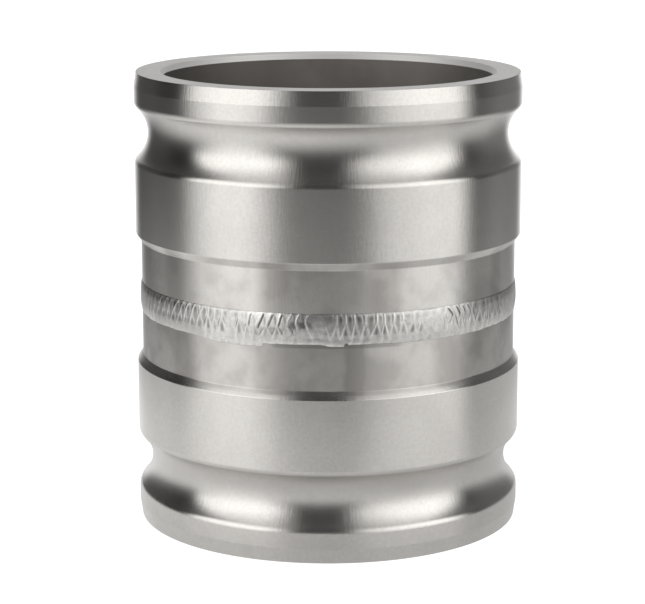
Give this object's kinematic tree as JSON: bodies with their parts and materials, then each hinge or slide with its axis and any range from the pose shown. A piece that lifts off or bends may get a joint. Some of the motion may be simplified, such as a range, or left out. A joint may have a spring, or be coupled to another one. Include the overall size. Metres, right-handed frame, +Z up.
{
  "type": "cam and groove spool adapter",
  "caption": "Welded steel spool adapter with a male cam and groove end at top and bottom, a ring groove in each, a straight open bore and a rippled weld round the middle.",
  "frame": {"origin": "centre of the lower sealing face, on the bore axis, where the part stands", "axes": "+Z up along the bore axis, from the lower male end to the upper one; X and Y are free, since every piece but the weld ripples is turned about Z"},
  "size_m": [0.0914, 0.0914, 0.1067],
  "materials": {
    "turned_steel": "satin turned stainless steel, lightly pickled beside the weld",
    "weld_metal": "bright rippled weld metal"
  },
  "bodies": {
    "root": {"lower_adapter": "turned_steel", "upper_adapter": "turned_steel", "weld_bead": "weld_metal"}
  },
  "joints": []
}
